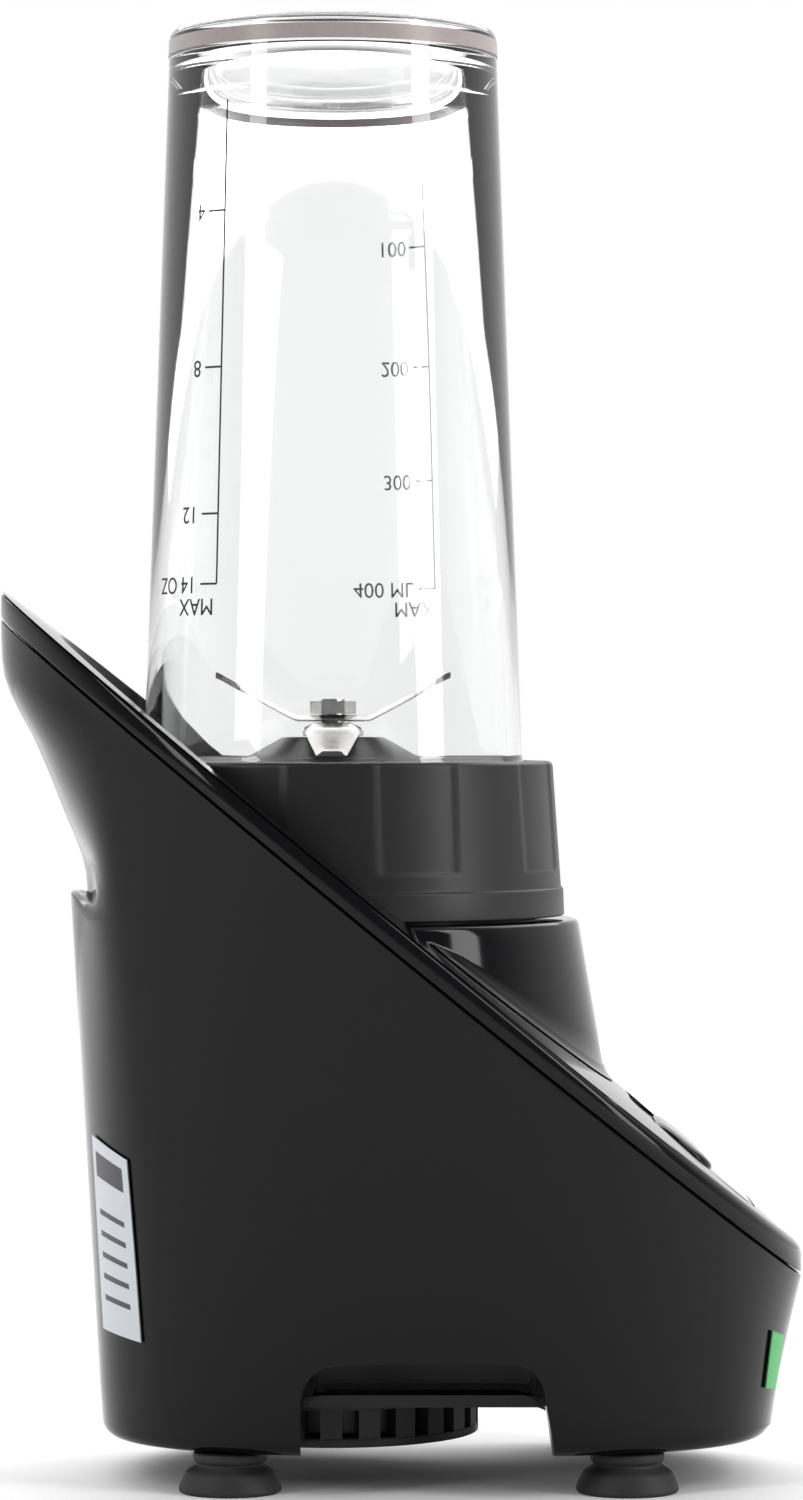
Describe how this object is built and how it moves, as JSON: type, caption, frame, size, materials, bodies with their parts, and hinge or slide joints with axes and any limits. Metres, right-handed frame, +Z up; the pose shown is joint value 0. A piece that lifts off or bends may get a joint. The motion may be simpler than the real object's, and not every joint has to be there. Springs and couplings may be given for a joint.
{
  "type": "countertop personal blender",
  "caption": "Personal blender: sloping motor base on suction feet, screw-on blade holder with bent blades, and a clear inverted cup.",
  "frame": {"origin": "on the surface it stands on, under the middle of the sloping top cover", "axes": "+X to the front and its power button, +Y to the left side, +Z up along the cup's axis"},
  "size_m": [0.1708, 0.128, 0.307],
  "materials": {
    "black_gloss": "polished black",
    "black_satin": "satin black",
    "charcoal": "fine satin charcoal",
    "clear_plastic": "clear",
    "rubber": "matte",
    "steel": "turned",
    "blade_steel": "ground and polished",
    "plated_steel": "zinc plated",
    "laminated_steel": "stacked laminations",
    "copper_wire": "enamelled winding",
    "copper": "turned copper",
    "brass": "pressed",
    "carbon": "sooty",
    "nylon": "moulded",
    "board": "lacquered board",
    "silver_film": "printed film",
    "green_film": "printed film"
  },
  "bodies": {
    "base": {"housing": "black_gloss", "top_cover": "black_gloss", "cup_seat": "black_gloss", "control_panel": "black_gloss", "bottom_plate": "black_satin", "vent_ring": "black_satin", "foot_front_left": "rubber", "foot_front_right": "rubber", "foot_rear_left": "rubber", "foot_rear_right": "rubber", "rating_label": "silver_film", "front_badge": "green_film", "cord_inlet_bushing": "rubber", "stator_core": "laminated_steel", "field_coil_left": "copper_wire", "field_coil_right": "copper_wire", "upper_motor_bracket": "plated_steel", "lower_motor_bracket": "plated_steel", "upper_bearing": "steel", "lower_bearing": "steel", "brush_holder_left": "brass", "brush_holder_right": "brass", "carbon_brush_left": "carbon", "carbon_brush_right": "carbon", "motor_mount_front": "rubber", "motor_mount_rear": "rubber", "splash_seal": "rubber", "circuit_board": "board", "power_switch": "nylon", "interlock_switch": "nylon", "terminal_block": "nylon", "interlock_spring": "steel", "base_screw_front_left": "steel", "base_screw_front_right": "steel", "base_screw_rear_left": "steel", "base_screw_rear_right": "steel"},
    "rotor": {"motor_shaft": "steel", "armature_core": "laminated_steel", "lower_armature_winding": "copper_wire", "upper_armature_winding": "copper_wire", "commutator": "copper", "cooling_fan": "black_satin", "drive_coupling": "charcoal", "coupling_nut": "steel"},
    "holder": {"blade_holder": "charcoal", "blade_bushing": "brass", "shaft_seal": "rubber", "cup_gasket": "rubber"},
    "blades": {"blade_shaft": "steel", "lower_blade": "blade_steel", "upper_blade": "blade_steel", "blade_spacer": "steel", "blade_nut": "steel", "driven_coupling": "steel"},
    "cup_body": {"cup": "clear_plastic"},
    "button": {"power_button": "black_gloss"},
    "pin": {"interlock_pin": "nylon"}
  },
  "joints": [
    {"name": "cup_lift", "type": "slide", "parent": "base", "child": "holder", "axis": [0, 0, 1], "range_m": [0, 0.09]},
    {"name": "cup_unscrew", "type": "slide", "parent": "holder", "child": "cup_body", "axis": [0, 0, 1], "range_m": [0, 0.045]},
    {"name": "motor_spin", "type": "hinge", "parent": "base", "child": "rotor", "pos_m": [-0.0146, 0, 0.06], "axis": [0, 0, 1], "continuous": true},
    {"name": "blade_spin", "type": "hinge", "parent": "holder", "child": "blades", "pos_m": [-0.0146, 0, 0.14], "axis": [0, 0, 1], "continuous": true},
    {"name": "button_press", "type": "slide", "parent": "base", "child": "button", "axis": [-0.6334, 0, -0.7738], "range_m": [0, 0.002], "stiffness_N_per_m": 900},
    {"name": "interlock_rise", "type": "slide", "parent": "base", "child": "pin", "axis": [0, 0, 1], "range_m": [0, 0.003], "deforming": ["interlock_spring"]}
  ],
  "couplings": [
    {"joint": "blade_spin", "follows": "motor_spin", "ratio": 1},
    {"joint": "interlock_rise", "follows": "cup_lift", "ratio": 0.03333}
  ]
}
